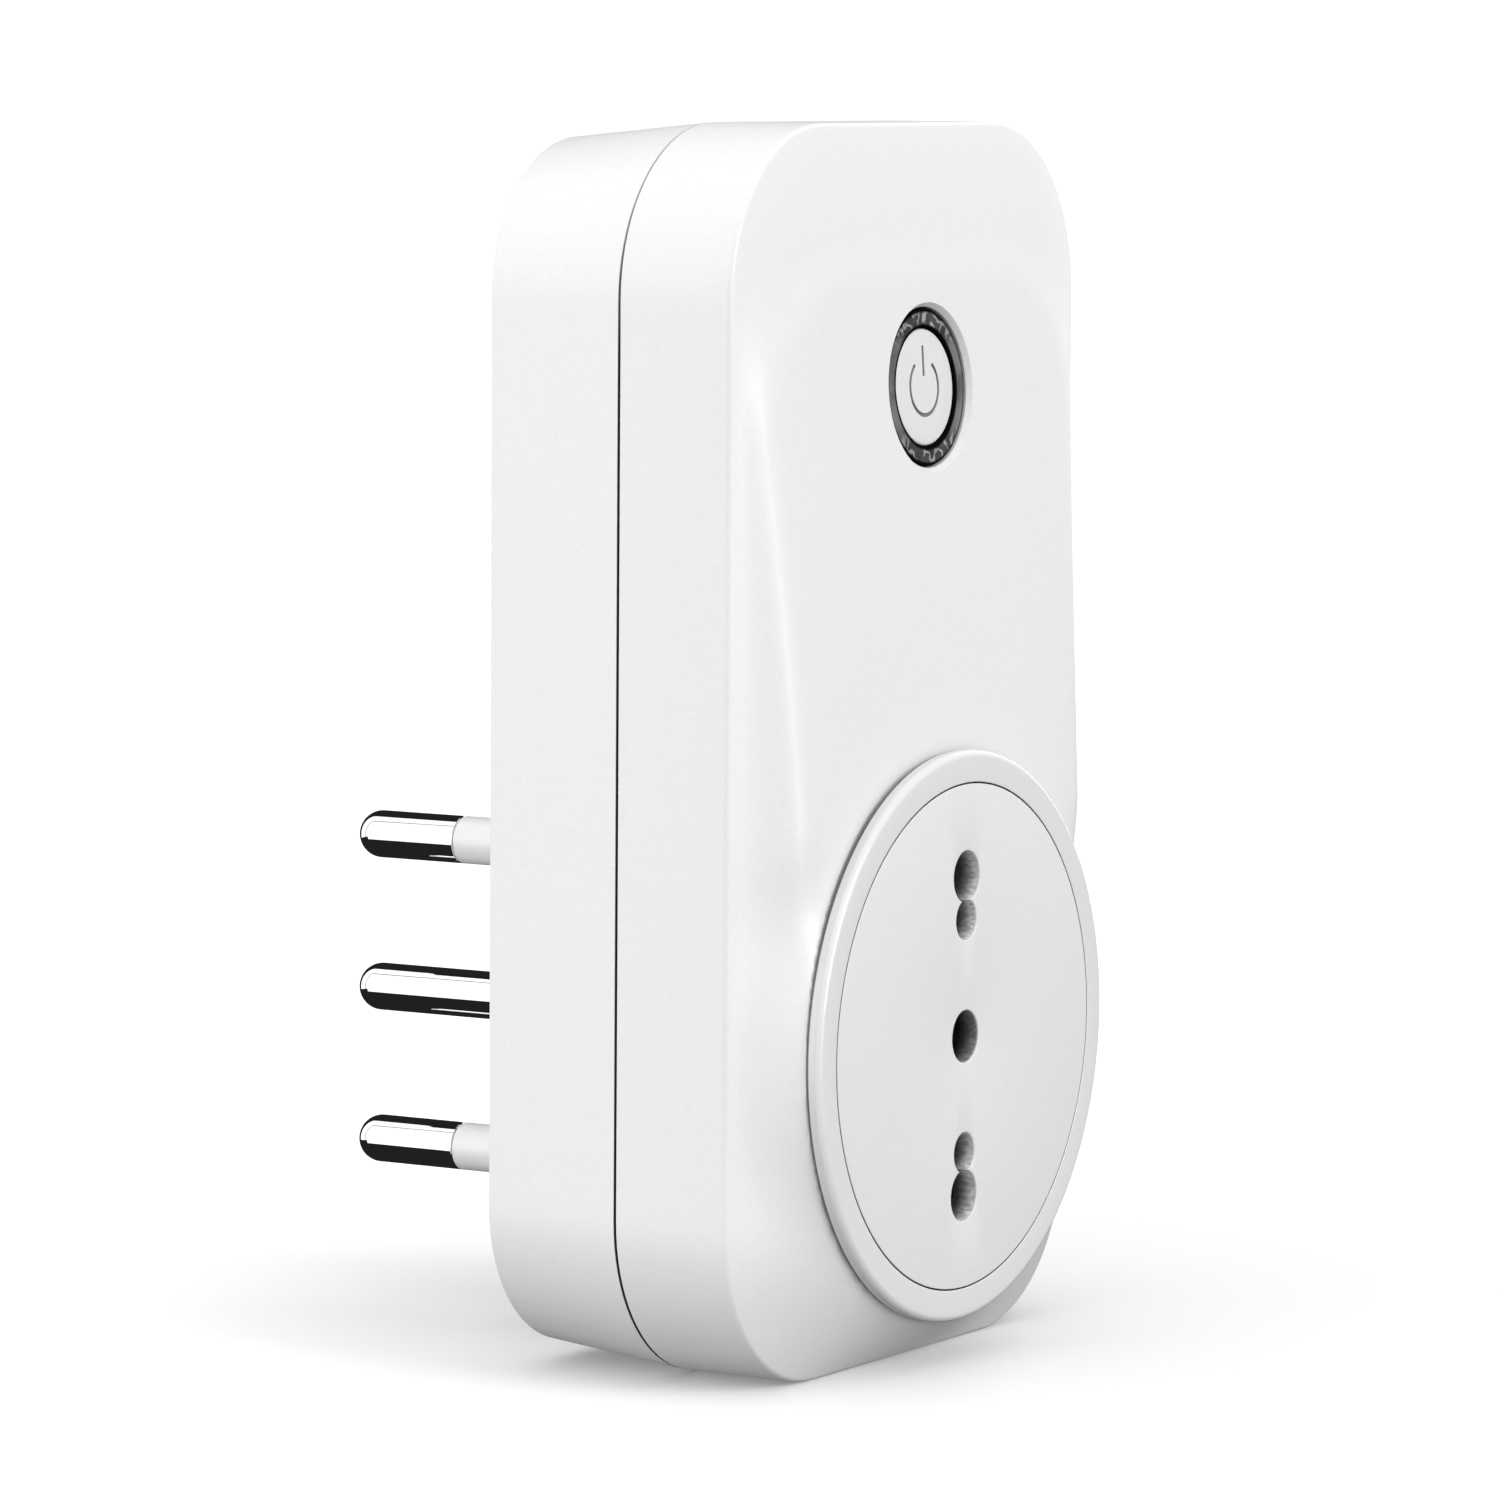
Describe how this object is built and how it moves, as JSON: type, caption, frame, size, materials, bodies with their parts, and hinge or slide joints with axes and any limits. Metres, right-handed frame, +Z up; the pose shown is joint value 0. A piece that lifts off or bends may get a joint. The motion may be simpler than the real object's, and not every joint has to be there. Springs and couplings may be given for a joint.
{
  "type": "smart plug",
  "caption": "Wall-plug switch with a tall rounded casing, raised round outlet, power button with a light ring, and in-line round pins on a plinth at the back.",
  "frame": {"origin": "bottom centre of the bounding box, on the flat base of the front cover", "axes": "+X right seen from the front, -Y towards the user (outlet side), +Y towards the wall (pins), +Z up"},
  "size_m": [0.0552, 0.0586, 0.1002],
  "materials": {
    "casing_white": "fine matte moulded plastic",
    "outlet_white": "fine matte moulded plastic",
    "button_white": "smooth satin plastic",
    "smoked_ring": "polished smoky clear plastic",
    "shutter_grey": "matte",
    "sleeve_white": "satin",
    "pin_nickel": "polished nickel plate",
    "contact_brass": "satin",
    "steel": "satin",
    "board_green": "solder mask",
    "dark_plastic": "matte",
    "ferrite": "matte",
    "copper_coil": "enamelled wire",
    "tin": "tinned sheet",
    "tape_yellow": "film",
    "ceramic_blue": "gloss",
    "can_black": "shrink film"
  },
  "bodies": {
    "casing": {"board_screw_1": "steel", "board_screw_2": "steel", "casing_screw_1": "steel", "casing_screw_2": "steel", "casing_screw_3": "steel", "casing_screw_4": "steel", "contact_housing": "dark_plastic", "earth_contact": "contact_brass", "earth_pin": "pin_nickel", "earth_strap": "contact_brass", "filter_capacitor": "tape_yellow", "front_cover": "casing_white", "fuse_resistor": "ceramic_blue", "input_capacitor": "can_black", "light_ring": "smoked_ring", "live_contact": "contact_brass", "live_contact_strap": "contact_brass", "live_pin": "pin_nickel", "live_pin_sleeve": "sleeve_white", "live_pin_strap": "contact_brass", "main_board": "board_green", "neutral_contact": "contact_brass", "neutral_pin": "pin_nickel", "neutral_pin_sleeve": "sleeve_white", "neutral_strap": "contact_brass", "output_capacitor": "can_black", "pin_carrier": "casing_white", "radio_board": "board_green", "radio_shield": "tin", "rear_cover": "casing_white", "relay_base": "dark_plastic", "relay_coil": "copper_coil", "relay_contact": "contact_brass", "relay_cover": "dark_plastic", "relay_yoke": "steel", "shutter_spring": "steel", "socket_collar": "outlet_white", "socket_face": "outlet_white", "status_led_1": "outlet_white", "status_led_2": "outlet_white", "supply_chip": "dark_plastic", "switch_body": "dark_plastic", "transformer_core": "ferrite", "transformer_winding": "tape_yellow", "varistor": "ceramic_blue"},
    "button": {"power_button": "button_white"},
    "plunger": {"switch_plunger": "dark_plastic"},
    "shutter": {"safety_shutter": "shutter_grey"},
    "armature": {"relay_armature": "steel"}
  },
  "joints": [
    {"name": "button_press", "type": "slide", "parent": "casing", "child": "button", "axis": [0, 1, 0], "range_m": [0, 0.0005], "stiffness_N_per_m": 3000},
    {"name": "plunger_press", "type": "slide", "parent": "casing", "child": "plunger", "axis": [0, 1, 0], "range_m": [0, 0.0005]},
    {"name": "shutter_slide", "type": "slide", "parent": "casing", "child": "shutter", "axis": [1, 0, 0], "range_m": [0, 0.0058], "stiffness_N_per_m": 250, "springref_m": -0.002, "deforming": ["shutter_spring"]},
    {"name": "armature_pivot", "type": "hinge", "parent": "casing", "child": "armature", "pos_m": [0, -0.00495, 0.0826], "axis": [1, 0, 0], "range_deg": [0, 8], "stiffness_Nm_per_rad": 0.002}
  ],
  "couplings": [
    {"joint": "plunger_press", "follows": "button_press", "ratio": 1}
  ]
}
